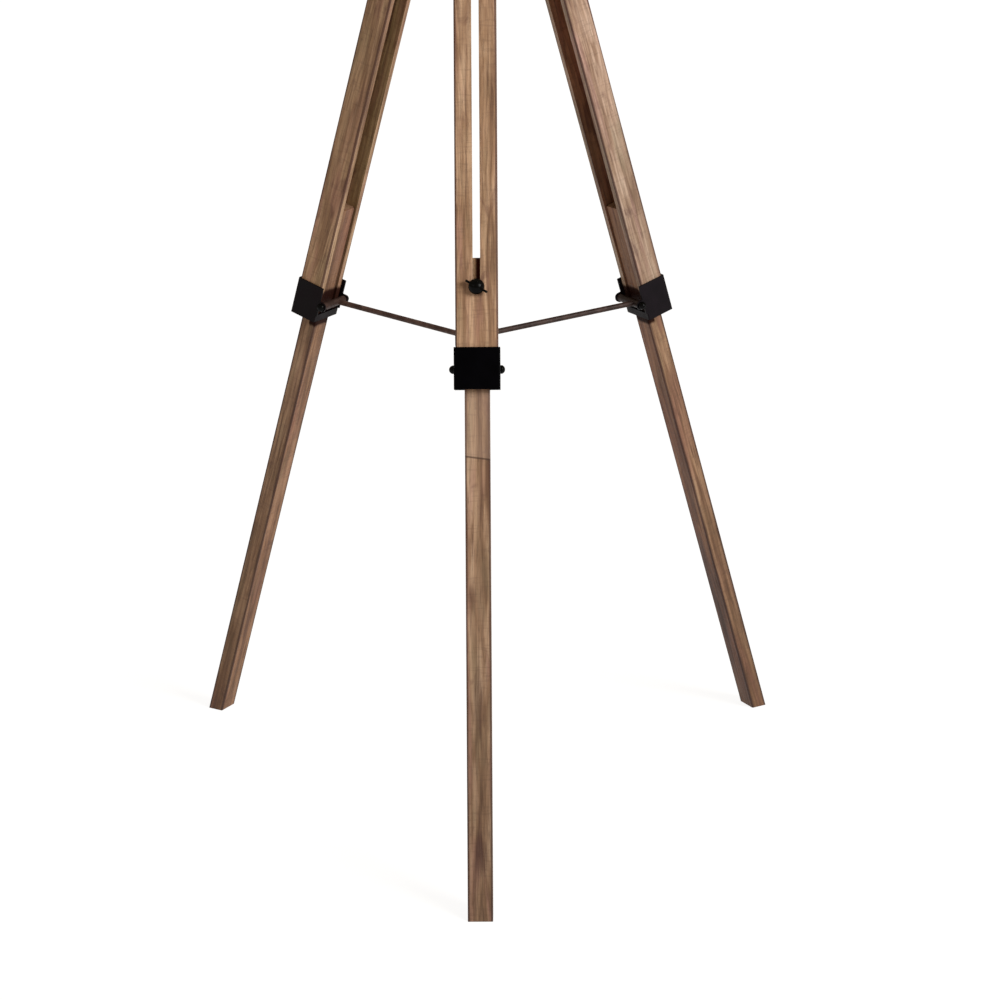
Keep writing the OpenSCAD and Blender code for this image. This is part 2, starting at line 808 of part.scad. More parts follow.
// Spun bell shade: neck, quarter-round shoulder and a straight rim band
module shade() {
    shoulder_y = shade_depth - 12;
    neck_r = cap_r + 0.2;
    steps = 24;
    outer = [for (i = [0 : steps]) let (a = i * 90 / steps)
        [neck_r + shade_wall + (shade_r - neck_r - shade_wall) * sin(a),
         -neck_top - neck_h - shoulder_y * (1 - cos(a))]];
    inner = [for (i = [steps : -1 : 0]) let (a = i * 90 / steps)
        [neck_r + (shade_r - shade_wall - neck_r) * sin(a),
         -neck_top - neck_h - shade_wall - (shoulder_y - shade_wall) * (1 - cos(a))]];
    rim = -neck_top - neck_h - shade_depth;
    color(BLACK) at_shade() rotate_extrude() polygon(concat(
        [[neck_r, -neck_top], [neck_r + shade_wall, -neck_top]], outer,
        [[shade_r, rim], [shade_r - shade_wall, rim]], inner));
}

// Screws that fix the shade's neck to the cap
module shade_screws() {
    color(STEEL) at_shade() translate([0, 0, -neck_top - neck_h / 2])
        for (angle = AZIMUTHS) rotate([0, 0, angle + 30])
            translate([cap_r + 0.2 + shade_wall, 0, 0])
                rotate([0, 90, 0]) cap(d = 6, h = 2.2, skirt = 0.6);
}

// Knob of the rotary switch, on a spindle that turns in the lampholder
module switch_knob() {
    color(BLACK) at_shade() translate([0, 0, -switch_z]) {
        translate([holder_r - 3.5, 0, 0]) rod_x(switch_d / 2, cap_r - holder_r + 12);
        translate([cap_r + 1, 0, 0]) hand_knob(r = 6.5, h = 11);
    }
}

// Globe of the bulb, with a short neck that enters its base
module bulb_glass() {
    neck_z = bulb_z - bulb_neck;
    color([0.95, 0.94, 0.90]) at_shade() rotate_extrude() intersection() {
        union() {
            translate([0, -bulb_z]) circle(r = bulb_r);
            polygon([[0, -bulb_z], [bulb_r * cos(20), -bulb_z + bulb_r * sin(20)],
                     [13, -neck_z], [13, -neck_z + bulb_in_base], [0, -neck_z + bulb_in_base]]);
        }
        translate([0, -bulb_z - bulb_r - 1]) square([bulb_r + 1, 100]);
    }
}

// Screw base of the bulb, with its ridges and centre contact
module bulb_base() {
    base_end = -holder_top - holder_h + well_depth - 4.5;
    base_mouth = -bulb_z + bulb_neck + bulb_in_base;
    core_r = 12.4;
    crest_r = 13.2;
    ridge = 3.4;
    turns = 5;
    color(STEEL) at_shade() {
        translate([0, 0, base_mouth]) cylinder(r = core_r, h = base_end - 4 - base_mouth);
        for (i = [0 : turns - 1]) translate([0, 0, base_mouth + 2 + i * ridge]) {
            cylinder(r1 = core_r, r2 = crest_r, h = ridge / 2);
            translate([0, 0, ridge / 2 - eps])
                cylinder(r1 = crest_r, r2 = core_r, h = ridge / 2);
        }
        translate([0, 0, base_end - 4 - eps]) cylinder(r1 = core_r, r2 = 6, h = 3);
        translate([0, 0, base_end - 1 - 2 * eps]) cylinder(r = 5, h = 1);
    }
}

// ---- Nodes --------------------------------------------------------------------------

for (k = [0 : 2]) {
    side = SIDES[k];
    upper_leg(k);
    lower_leg(k);
    collar(k);
    collar_bolt(k);
    collar_nut(k);
    spreader_arm(k);
    lock_bolt(k);
    lock_washer(k);
    wing_nut(k);
}
spreader_hub();
tripod_head();
leg_brackets();
bracket_screws();
leg_hinge_bolts();
leg_hinge_nuts();
hinge_washers();
cable_gland();
gland_nut();
stem_socket();
socket_screws();
stem_thumbscrew();
stem_tube();
stem_knuckle();
arm_pivot_bolt();
arm_knob();
arm_knuckle();
arm_tube();
shade_fork();
shade_pivot_bolt();
shade_knob();
shade_knuckle();
socket_cap();
socket_nipple();
lampholder();
screw_shell();
centre_contact();
shade();
shade_screws();
switch_knob();
bulb_glass();
bulb_base();
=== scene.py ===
"""Wooden tripod floor lamp with a tilting arm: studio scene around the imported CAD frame."""
import json
import math

import bmesh
import bpy
from mathutils import Matrix, Vector


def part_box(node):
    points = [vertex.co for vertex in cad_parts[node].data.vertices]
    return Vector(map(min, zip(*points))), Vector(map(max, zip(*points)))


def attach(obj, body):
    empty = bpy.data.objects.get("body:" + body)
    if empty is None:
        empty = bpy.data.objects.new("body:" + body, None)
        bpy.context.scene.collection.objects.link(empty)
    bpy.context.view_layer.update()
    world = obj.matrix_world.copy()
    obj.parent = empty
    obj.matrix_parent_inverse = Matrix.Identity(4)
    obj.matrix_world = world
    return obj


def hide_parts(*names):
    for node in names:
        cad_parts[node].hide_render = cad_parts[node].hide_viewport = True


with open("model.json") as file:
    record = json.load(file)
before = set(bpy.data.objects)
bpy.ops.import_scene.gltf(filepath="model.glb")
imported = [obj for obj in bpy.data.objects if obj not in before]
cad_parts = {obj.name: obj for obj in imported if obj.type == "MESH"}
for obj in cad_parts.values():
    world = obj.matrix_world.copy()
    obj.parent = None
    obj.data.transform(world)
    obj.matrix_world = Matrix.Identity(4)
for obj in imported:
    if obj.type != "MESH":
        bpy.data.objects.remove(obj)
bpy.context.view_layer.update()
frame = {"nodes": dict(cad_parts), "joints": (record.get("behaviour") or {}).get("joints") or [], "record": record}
NODES = frame["nodes"]
RECORD = frame["record"]
JOINTS = {j["name"]: j for j in frame["joints"]}
MOUNTS = {m["name"]: m for m in RECORD["mounts"]}
SIDES = ("front", "left", "right")
SWIVEL = Vector(JOINTS["stem_swivel"]["pos_m"])
AXIS = Vector((SWIVEL.x, SWIVEL.y, 0.0))

# Sizes in metres, as in the CAD source: half width, half thickness and middle's shift inwards
BOARD = (0.0210, 0.0140, -0.0031)
SLIDER = (0.0125, 0.0091, 0.0)
GROOVE_HALF, GROOVE_FLOOR = 0.0128, -0.0100
SLEEVE_R = 0.0042
# Places along a leg count from its foot
SLOT_START = (0.545, 0.575)
FRONT_JOINT = 0.455

WHITE = (1.0, 1.0, 1.0)
BLACK = (0.0, 0.0, 0.0)


# ---- Camera -----------------------------------------------------------------

CAMERA_PITCH, CAMERA_ROLL, CAMERA_YAW = (math.radians(a) for a in (18.04, -0.51, 0.56))
CAMERA_PLACE = Vector((0.0193, -2.6749, 1.1867))
CAMERA_LENS, CAMERA_SENSOR = 93.11, 36.0
CAMERA_NEAR, CAMERA_FAR = 0.05, 100.0


def make_camera():
    """Camera above the head plate's height, looking down at the middle of the legs."""
    pitch, roll, yaw = CAMERA_PITCH, CAMERA_ROLL, CAMERA_YAW
    right = Vector((1, 0, 0))
    up = Vector((0, math.sin(pitch), math.cos(pitch)))
    forward = Vector((0, math.cos(pitch), -math.sin(pitch)))
    tilted_right = math.cos(roll) * right + math.sin(roll) * up
    tilted_up = -math.sin(roll) * right + math.cos(roll) * up
    basis = Matrix((tilted_right, tilted_up, -forward)).transposed()
    turn = Matrix.Rotation(yaw, 3, "Z")
    place = AXIS + turn @ CAMERA_PLACE
    data = bpy.data.cameras.new("camera")
    data.lens = CAMERA_LENS
    data.sensor_width = CAMERA_SENSOR
    data.clip_start, data.clip_end = CAMERA_NEAR, CAMERA_FAR
    camera = bpy.data.objects.new("camera", data)
    bpy.context.scene.collection.objects.link(camera)
    camera.matrix_world = Matrix.Translation(place) @ (turn @ basis).to_4x4()
    bpy.context.scene.camera = camera


make_camera()


# ---- Node materials ---------------------------------------------------------

class Shader:
    """Short calls for building one Principled material."""

    def __init__(self, name):
        self.material = bpy.data.materials.new(name)
        self.material.use_nodes = True
        self.tree = self.material.node_tree
        self.bsdf = self.tree.nodes["Principled BSDF"]

    def put(self, socket, value):
        if isinstance(value, bpy.types.NodeSocket):
            self.tree.links.new(value, socket)
        elif socket.type == "RGBA" and len(value) == 3:
            socket.default_value = (*value, 1.0)
        else:
            socket.default_value = value

    def node(self, kind, inputs=None, **settings):
        made = self.tree.nodes.new(kind)
        for key, value in settings.items():
            setattr(made, key, value)
        for key, value in (inputs or {}).items():
            self.put(made.inputs[key], value)
        return made

    def set(self, **values):
        for key, value in values.items():
            self.put(self.bsdf.inputs[key.replace("_", " ")], value)

    def place(self):
        return self.node("ShaderNodeTexCoord").outputs["Object"]

    def normal(self):
        return self.node("ShaderNodeTexCoord").outputs["Normal"]

    def map(self, vector, location=(0, 0, 0), rotation=(0, 0, 0), scale=(1, 1, 1)):
        return self.node("ShaderNodeMapping", {
            "Vector": vector, "Location": location, "Rotation": rotation, "Scale": scale,
        }).outputs[0]

    def split(self, vector):
        return tuple(self.node("ShaderNodeSeparateXYZ", {0: vector}).outputs)

    def math(self, operation, a, b=0.0):
        return self.node("ShaderNodeMath", {0: a, 1: b}, operation=operation).outputs[0]

    def add(self, a, b):
        return self.math("ADD", a, b)

    def less(self, a, b):
        return self.math("SUBTRACT", a, b)

    def times(self, a, b):
        return self.math("MULTIPLY", a, b)

    def over(self, a, b):
        return self.math("DIVIDE", a, b)

    def unsigned(self, a):
        return self.math("ABSOLUTE", a)

    def length(self, a, b):
        """Length of the vector with these two parts."""
        return self.math("SQRT", self.add(self.times(a, a), self.times(b, b)))

    def noise(self, vector, scale, detail, roughness, warp=0.0):
        return self.node("ShaderNodeTexNoise", {
            "Vector": vector, "Scale": scale, "Detail": detail,
            "Roughness": roughness, "Distortion": warp,
        }).outputs["Fac"]

    def fade(self, value, start, end, low=0.0, high=1.0):
        """low below start, high above end, and smooth between them."""
        return self.node("ShaderNodeMapRange", {
            "Value": value, "From Min": start, "From Max": end, "To Min": low, "To Max": high,
        }, interpolation_type="SMOOTHSTEP").outputs[0]

    def ramp(self, value, stops):
        made = self.node("ShaderNodeValToRGB", {0: value})
        band = made.color_ramp
        while len(band.elements) < len(stops):
            band.elements.new(0.5)
        for element, (at, colour) in zip(band.elements, stops):
            element.position = at
            element.color = (*colour, 1.0)
        return made.outputs[0]

    def mix(self, share, a, b, mode="MIX"):
        made = self.node("ShaderNodeMix", data_type="RGBA", blend_type=mode)
        self.put(made.inputs[0], share)
        self.put(made.inputs[6], a)
        self.put(made.inputs[7], b)
        return made.outputs[2]

    def tint(self, colour, tone, share=1.0):
        """The colour, with that share of it multiplied by a tone."""
        return self.mix(share, colour, self.mix(1.0, colour, tone, mode="MULTIPLY"))

    def bump(self, height, distance, strength):
        return self.node("ShaderNodeBump", {
            "Height": height, "Distance": distance, "Strength": strength,
        }).outputs[0]


def srgb(r, g, b):
    """Linear colour of an 8-bit screen colour."""
    def line(c):
        c /= 255.0
        return c / 12.92 if c <= 0.04045 else ((c + 0.055) / 1.055) ** 2.4
    return tuple(line(c) for c in (r, g, b))


def leg_frame(side):
    """Rotation and shift from the shared frame to a leg: x across, y inwards, z up along it."""
    along = Vector(JOINTS["extend_" + side]["axis"]).normalized()
    across = Vector(JOINTS["fold_" + side]["axis"]).normalized()
    inwards = along.cross(across)
    turn = Matrix((across, inwards, along))
    return turn, -(turn @ Vector(MOUNTS["foot_" + side]["pos_m"]))


def place_on_leg(s, side):
    """A point's place in the frame of a leg, and that of the leg's cross bolt."""
    turn, shift = leg_frame(side)
    leg = s.map(s.place(), location=shift, rotation=turn.to_euler("XYZ"))
    return leg, turn @ Vector(JOINTS["spread_" + side]["pos_m"]) + shift


class Grain:
    """The noise layers of one length of softwood, stretched along the leg."""

    def __init__(self, s, leg, seed):
        drift = Vector((seed * 1.37, seed * 2.11, seed * 0.73))

        def layer(across, along, detail, rough, warp=0.0, extra=0.0):
            moved = s.map(leg, location=drift + Vector((extra, extra, extra)),
                          scale=(across, across, along))
            return s.noise(moved, 1.0, detail, rough, warp)

        self.broad = layer(85, 8.0, 3, 0.55, 1.0)
        self.tint = layer(60, 8.5, 2, 0.5, 0.8, 11.3)
        self.streak = layer(300, 15, 5, 0.62, 0.9, 5.2)
        self.fibre = layer(1500, 32, 3, 0.6, 0.0, 1.9)
        self.ripple = layer(60, 420, 2, 0.5, 0.6, 21.0)
        self.uneven = s.times(layer(220, 14, 3, 0.6, 0.0, 2.5), 0.0024)
        self.pores = s.fade(layer(2300, 75, 2, 0.5, 0.0, 9.4), 0.60, 0.72)
        self.stain = s.fade(layer(65, 17, 3, 0.6, 1.2, 17.0), 0.56, 0.76)
        self.late = self.rings(s, leg, seed, layer(16, 5.5, 2, 0.5, extra=3.1),
                               layer(160, 9, 3, 0.6, extra=7.7))

    @staticmethod
    def rings(s, leg, seed, sway, wobble):
        """Dark late wood of the year rings, which run round a pith outside the piece."""
        rings_per_metre = 210
        x, y = s.split(leg)[:2]
        pith_x = s.add(x, s.times(s.less(sway, 0.5), 0.060))
        pith_x = s.add(pith_x, 0.012 * math.sin(seed * 2.4))
        pith_y = s.add(y, 0.035 + 0.01 * math.cos(seed))
        ring = s.add(s.times(s.length(pith_x, pith_y), rings_per_metre), s.times(wobble, 1.5))
        year = s.math("FRACT", ring)
        return s.times(s.fade(year, 0.25, 0.85), s.fade(year, 0.88, 1.0, 1.0, 0.0))

    def colour(self, s):
        base = s.ramp(self.broad, [(0.30, srgb(112, 82, 58)), (0.44, srgb(160, 127, 97)),
                                   (0.58, srgb(192, 160, 130)), (0.74, srgb(212, 183, 153))])
        pink, olive, umber = srgb(178, 134, 118), srgb(150, 134, 103), srgb(92, 66, 46)
        base = s.mix(s.fade(self.tint, 0.50, 0.68, 0.0, 0.55), base, pink)
        base = s.mix(s.fade(self.tint, 0.30, 0.46, 0.45, 0.0), base, olive)
        base = s.mix(s.fade(self.streak, 0.50, 0.30, 0.0, 0.66), base, umber)
        base = s.mix(s.fade(self.streak, 0.60, 0.75, 0.0, 0.45), base, srgb(205, 180, 152))
        base = s.mix(s.times(self.late, 0.30), base, srgb(104, 72, 48))
        base = s.mix(s.fade(self.fibre, 0.35, 0.65, 0.22, 0.0), base, srgb(84, 62, 45))
        base = s.mix(s.times(self.stain, 0.60), base, srgb(92, 56, 46))
        base = s.mix(s.times(self.pores, 0.40), base, srgb(60, 42, 30))
        return s.mix(s.fade(self.ripple, 0.52, 0.70, 0.0, 0.22), base, srgb(98, 74, 58))

    def height(self, s):
        raised = s.add(s.times(self.fibre, 0.5), s.times(s.less(1.0, self.pores), 0.5))
        return s.less(raised, s.times(self.late, 0.35))


def add_knot(s, base, place, grain, knot):
    """Soft dark patch where a knot lies under the face."""
    x, y, z = place
    knot_x, knot_z, width, length, depth = knot
    dx = s.over(s.less(x, knot_x), width)
    dz = s.over(s.less(z, knot_z), length)
    away = s.add(s.times(dx, dx), s.times(dz, dz))
    away = s.add(away, s.times(s.less(grain.streak, 0.5), 1.6))
    return s.mix(s.fade(away, 0.0, 1.0, depth, 0.0), base, srgb(84, 50, 40))


def stain_edges(s, base, place, grain, size):
    """Stain gathers on the rounded edges."""
    x, y, z = place
    half_w, half_t, shift = size
    to_side = s.less(half_w, s.unsigned(x))
    to_face = s.less(half_t, s.unsigned(s.less(y, shift)))
    edge = s.less(s.math("MAXIMUM", to_side, to_face), grain.uneven)
    return s.mix(s.fade(edge, 0.0, 0.0014, 0.85, 0.0), base, srgb(70, 40, 30))


def tone_parts(s, base, place, grain, size, tones):
    """Painted light and shade on the groove, the inner face, the foot and the neck of a piece that names them:
    darker in the groove, on the inner face and towards the foot, lighter towards the neck.
    """
    x, y, z = place
    half_w, half_t, shift = size
    # Painted shade in the groove's recess
    if "groove" in tones:
        within = s.fade(s.unsigned(x), GROOVE_HALF, GROOVE_HALF + 0.0005, 1.0, 0.0)
        behind = s.fade(y, GROOVE_FLOOR - 0.0004, GROOVE_FLOOR)
        base = s.tint(base, tones["groove"], s.times(within, behind))
    # Painted shade on the face towards the middle
    if "inner" in tones:
        inner_face = shift + half_t
        inner = s.fade(y, inner_face - 0.0012, inner_face - 0.0004)
        base = s.tint(base, tones["inner"], inner)
    # Height along the leg, made uneven by the grain, for the painted shade at the foot and the painted light at
    # the neck
    light_and_shade_z = s.add(z, s.times(grain.broad, 0.10))
    # Painted shade: darker towards the foot
    if "foot" in tones:
        base = s.tint(base, s.mix(s.fade(light_and_shade_z, 0.05, 0.50), tones["foot"], WHITE))
    # Painted light: lighter towards the neck
    if "neck" in tones:
        base = s.tint(base, s.mix(s.fade(light_and_shade_z, 0.68, 0.90), WHITE, tones["neck"]))
    return base


def add_joint(s, base, height, place, joint_at):
    """Glued joint cut slightly askew, with a paler, greyer length above it."""
    slope = -0.13
    x, y, z = place
    skew = s.less(z, s.times(x, slope))
    line = s.fade(s.unsigned(s.less(skew, joint_at)), 0.0003, 0.0014, 1.0, 0.0)
    above = s.fade(skew, joint_at, joint_at + 0.0006)
    base = s.mix(above, base, s.mix(0.22, base, srgb(186, 160, 142)))
    base = s.mix(s.times(line, 0.75), base, srgb(64, 42, 30))
    return base, s.less(height, s.times(line, 1.2))


def paint_opening_shadow(s, base, place, grain, bolt):
    """Painted shadow: nearly black wood in the collar's opening, behind the cross bolt's sleeve, and just below
    the collar. Returns the colour and the painted shadow's mask.
    """
    x, y, z = place
    from_bolt = s.less(s.add(z, s.times(grain.uneven, 1.5)), bolt.z)
    # dark is the painted shadow's mask, on the inner side, from just below the collar to above the bolt
    dark = s.times(s.fade(from_bolt, -0.030, -0.026),
                   s.fade(from_bolt, 0.0125, 0.0180, 0.97, 0.0))
    dark = s.times(dark, s.fade(y, 0.0, 0.0020))
    return s.mix(dark, base, srgb(40, 18, 15)), dark


def paint_slot_shadow(s, base, dark, place, half_t):
    """Painted shadow: nearly black strip on the lower leg's face behind the slot, with painted light, a pale band,
    to one side of it.
    """
    x, y, z = place
    face = s.times(s.fade(z, *SLOT_START), s.fade(y, 0.0015 - half_t, 0.0022 - half_t, 1.0, 0.0))
    # Painted light: pale band along the side of the slot that light reaches
    bare = s.times(face, s.fade(x, -0.0016, 0.0004, 0.8, 0.0))
    base = s.mix(bare, base, srgb(246, 214, 176))
    # Painted shadow: near black strip over the rest of the slot
    strip = s.times(s.fade(x, -0.0024, 0.0010), s.fade(x, 0.0028, 0.0042, 1.0, 0.6))
    strip = s.times(face, strip)
    return s.mix(strip, base, srgb(56, 17, 7)), s.math("MAXIMUM", dark, strip)


def wood(name, side, seed, size, tones, joint_at=None, knots=()):
    """Stained, weathered softwood with its grain along the leg and dark rounded edges.

    tones holds a multiplier for the whole piece, partly the wood's own tone and partly painted light and shade,
    and others for parts of it, which are painted light and shade: "groove" and "inner", for the face towards the
    middle, darken, "foot" darkens the low end, "neck" lightens the high end. The nearly black wood by the cross
    bolt and behind the slot is painted shadow, and the gloss is lowered there too.
    """
    s = Shader(name)
    leg, bolt = place_on_leg(s, side)
    place = s.split(leg)
    grain = Grain(s, leg, seed)
    base = grain.colour(s)
    for knot in knots:
        base = add_knot(s, base, place, grain, knot)
    base = stain_edges(s, base, place, grain, size)
    base = tone_parts(s, base, place, grain, size, tones)
    height = grain.height(s)
    if joint_at is not None:
        base, height = add_joint(s, base, height, place, joint_at)
    # Painted shadow by the cross bolt and, on lower legs, painted shadow and light in the slot; dark is the
    # painted shadow's mask
    base, dark = paint_opening_shadow(s, base, place, grain, bolt)
    if "foot" in tones:
        base, dark = paint_slot_shadow(s, base, dark, place, size[1])
    s.set(Base_Color=s.tint(base, tones["whole"]),
          Roughness=s.fade(grain.streak, 0.3, 0.7, 0.66, 0.50),
          # Less gloss where the painted shadow is
          Specular_IOR_Level=s.fade(dark, 0.0, 1.0, 0.35, 0.03),
          Normal=s.bump(height, 0.00035, 0.55))
    return s.material


def powder_coat(name, colour, gleam=0.08):
    """Matte powder coat: fine orange peel, uneven sheen and faint dust."""
    s = Shader(name)
    at = s.place()
    peel = s.noise(at, 1400, 2, 0.5)
    cloud = s.noise(at, 45, 4, 0.6)
    dust = s.fade(s.noise(at, 420, 4, 0.7), 0.60, 0.80, 0.0, 0.35)
    worn = tuple(c * 2.2 for c in colour)
    dusty = tuple(c * 6 for c in colour)
    tone = s.mix(s.fade(cloud, 0.35, 0.70, 0.0, 0.55), colour, worn)
    s.set(Base_Color=s.mix(dust, tone, dusty),
          Roughness=s.fade(cloud, 0.3, 0.7, 0.42, 0.60),
          Specular_IOR_Level=gleam,
          Normal=s.bump(peel, 0.00006, 0.6))
    return s.material


def gloss_black(name):
    """Smooth black enamel on turned parts, with light handling marks."""
    s = Shader(name)
    at = s.place()
    smear = s.noise(at, 160, 4, 0.6)
    scuff = s.fade(s.noise(s.map(at, scale=(900, 900, 140)), 1, 3, 0.6), 0.66, 0.78, 0.0, 0.35)
    s.set(Base_Color=s.mix(scuff, (0.0010, 0.0010, 0.0009), (0.008, 0.008, 0.008)),
          Roughness=s.fade(smear, 0.35, 0.65, 0.20, 0.32),
          Specular_IOR_Level=0.07,
          Normal=s.bump(smear, 0.00008, 0.35))
    return s.material


def metal(name, dark, bright, rough):
    """Plated or bare metal with fine drawn lines and tarnish."""
    s = Shader(name)
    at = s.place()
    drawn = s.noise(s.map(at, scale=(300, 300, 60)), 1, 4, 0.6)
    tarnish = s.noise(at, 120, 4, 0.65)
    colour = s.mix(s.fade(tarnish, 0.38, 0.68), dark, bright)
    colour = s.mix(s.fade(drawn, 0.55, 0.75, 0.0, 0.4), colour, dark)
    s.set(Base_Color=colour, Metallic=1.0,
          Roughness=s.fade(tarnish, 0.3, 0.7, rough + 0.10, rough - 0.05),
          Normal=s.bump(drawn, 0.00006, 0.5))
    return s.material


def rod_finish(name, side, tone):
    """Dark bronze rod: brown and dull, and darker on the sleeve round the cross bolt; tone darkens the whole rod
    as painted shade.
    """
    s = Shader(name)
    leg, bolt = place_on_leg(s, side)
    y, z = s.split(leg)[1:]
    reach = s.length(s.less(y, bolt.y), s.less(z, bolt.z))
    sleeve = s.fade(reach, SLEEVE_R, SLEEVE_R + 0.0008, 1.0, 0.0)
    worn = s.noise(leg, 240, 4, 0.6)
    tarnish = s.noise(leg, 90, 4, 0.65)
    colour = s.mix(s.fade(tarnish, 0.38, 0.68), srgb(62, 45, 40), srgb(92, 70, 63))
    colour = s.mix(s.fade(worn, 0.58, 0.78, 0.0, 0.5), colour, srgb(120, 98, 90))
    colour = s.tint(colour, (tone, tone, tone))
    colour = s.mix(s.times(sleeve, 0.55), colour, srgb(30, 16, 12))
    s.set(Base_Color=colour, Metallic=0.15,
          Roughness=s.fade(worn, 0.3, 0.7, 0.60, 0.46),
          Specular_IOR_Level=0.2,
          Normal=s.bump(worn, 0.00006, 0.5))
    return s.material


def moulded(name, colour, rough, coat=0.0, specular=0.5):
    """Glazed or moulded part with faint colour variation."""
    s = Shader(name)
    at = s.place()
    cloud = s.noise(at, 70, 4, 0.6)
    speck = s.fade(s.noise(at, 900, 2, 0.5), 0.68, 0.80, 0.0, 0.25)
    dull = tuple(c * 0.86 for c in colour)
    dirty = tuple(c * 0.6 for c in colour)
    tone = s.mix(s.fade(cloud, 0.35, 0.65), dull, colour)
    s.set(Base_Color=s.mix(speck, tone, dirty),
          Roughness=s.fade(cloud, 0.3, 0.7, rough - 0.05, rough + 0.08),
          Coat_Weight=coat,
          Specular_IOR_Level=specular,
          Normal=s.bump(cloud, 0.00015, 0.3))
    return s.material


def shade_paint(name, rim_r):
    """Black outside and warm white inside: the inner face looks at the shade's own axis."""
    s = Shader(name)
    at = s.place()
    x, y = s.split(at)[:2]
    nx, ny, nz = s.split(s.normal())
    reach = s.length(x, y)
    facing = s.over(s.add(s.times(x, nx), s.times(y, ny)), reach)
    towards = s.math("LESS_THAN", facing, -0.05)
    under = s.times(s.math("LESS_THAN", nz, -0.3), s.math("LESS_THAN", reach, rim_r - 0.003))
    inside = s.math("MAXIMUM", towards, under)
    cloud = s.noise(at, 38, 4, 0.6)
    peel = s.noise(at, 700, 2, 0.5)
    dust = s.fade(s.noise(at, 260, 5, 0.7), 0.60, 0.80, 0.0, 0.20)
    black = s.mix(s.fade(cloud, 0.35, 0.7, 0.0, 0.6),
                  (0.004, 0.004, 0.0045), (0.008, 0.008, 0.0085))
    black = s.mix(dust, black, (0.030, 0.028, 0.026))
    white = s.mix(s.fade(cloud, 0.35, 0.7), srgb(236, 230, 216), srgb(246, 242, 232))
    s.set(Base_Color=s.mix(inside, black, white),
          Roughness=s.fade(cloud, 0.3, 0.7, 0.36, 0.48),
          Specular_IOR_Level=0.22,
          Normal=s.bump(peel, 0.00010, 0.4))
    return s.material


def opal_glass(name):
    """Frosted white bulb glass with a soft skin."""
    s = Shader(name)
    cloud = s.noise(s.place(), 60, 3, 0.6)
    s.set(Base_Color=s.mix(cloud, srgb(238, 234, 224), srgb(250, 248, 242)),
          Roughness=s.fade(cloud, 0.3, 0.7, 0.22, 0.34),
          Subsurface_Weight=0.35,
          Subsurface_Radius=(0.01, 0.01, 0.01),
          Coat_Weight=0.3,
          Normal=s.bump(cloud, 0.0001, 0.2))
    return s.material


def paint(node, material):
    """Gives a CAD node one material."""
    slots = NODES[node].data.materials
    slots.clear()
    slots.append(material)


CREASE_ANGLE = math.radians(32)
WELD = 1e-6
EDGE_SEGMENTS = 2
LATHE_STEPS = 160


def make_smoother():
    """Modifier network: joins split corners and shades smoothly across gentle edges."""
    tree = bpy.data.node_groups.new("smooth_by_angle", "GeometryNodeTree")
    tree.interface.new_socket("Geometry", in_out="INPUT", socket_type="NodeSocketGeometry")
    tree.interface.new_socket("Geometry", in_out="OUTPUT", socket_type="NodeSocketGeometry")

    def add(kind, **settings):
        made = tree.nodes.new(kind)
        for key, value in settings.items():
            setattr(made, key, value)
        return made

    merge = add("GeometryNodeMergeByDistance")
    merge.inputs["Distance"].default_value = WELD
    forget = add("GeometryNodeRemoveAttribute")
    forget.inputs["Name"].default_value = "custom_normal"
    faces = add("GeometryNodeSetShadeSmooth", domain="FACE")
    faces.inputs["Shade Smooth"].default_value = True
    edges = add("GeometryNodeSetShadeSmooth", domain="EDGE")
    edges.inputs["Shade Smooth"].default_value = True
    creases = add("GeometryNodeSetShadeSmooth", domain="EDGE")
    creases.inputs["Shade Smooth"].default_value = False
    angle = add("GeometryNodeInputMeshEdgeAngle")
    steep = add("FunctionNodeCompare", data_type="FLOAT", operation="GREATER_THAN")
    steep.inputs[1].default_value = CREASE_ANGLE
    tree.links.new(angle.outputs["Unsigned Angle"], steep.inputs[0])
    tree.links.new(steep.outputs[0], creases.inputs["Selection"])
    flow = [add("NodeGroupInput"), merge, forget, faces, edges, creases, add("NodeGroupOutput")]
    for source, target in zip(flow, flow[1:]):
        tree.links.new(source.outputs[0], target.inputs[0])
    return tree


SMOOTHER = make_smoother()


def smooth(node):
    """Shades a CAD node's curved faces smoothly."""
    NODES[node].modifiers.new("smooth", "NODES").node_group = SMOOTHER


def soften(node, width):
    """Rounds a CAD node's sharp edges."""
    bevel = NODES[node].modifiers.new("bevel", "BEVEL")
    bevel.width = width
    bevel.segments = EDGE_SEGMENTS
    bevel.limit_method = "ANGLE"
    bevel.angle_limit = CREASE_ANGLE
    bevel.use_clamp_overlap = True
    bevel.harden_normals = True


def lathe(name, profile, centre, material):
    """Closed body of revolution: profile is a loop of (radius, height) in metres."""
    form = bmesh.new()
    rings = []
    for step in range(LATHE_STEPS):
        turn = 2 * math.pi * step / LATHE_STEPS
        rings.append([form.verts.new((r * math.cos(turn), r * math.sin(turn), h))
                      for r, h in profile])
    for step, ring in enumerate(rings):
        after = rings[(step + 1) % LATHE_STEPS]
        for k in range(len(profile)):
            n = (k + 1) % len(profile)
            face = form.faces.new((ring[k], after[k], after[n], ring[n]))
            face.smooth = True
    bmesh.ops.recalc_face_normals(form, faces=form.faces)
    mesh = bpy.data.meshes.new(name)
    form.to_mesh(mesh)
    form.free()
    mesh.set_sharp_from_angle(angle=CREASE_ANGLE)
    mesh.materials.append(material)
    made = bpy.data.objects.new(name, mesh)
    made.location = centre
    bpy.context.scene.collection.objects.link(made)
    return made


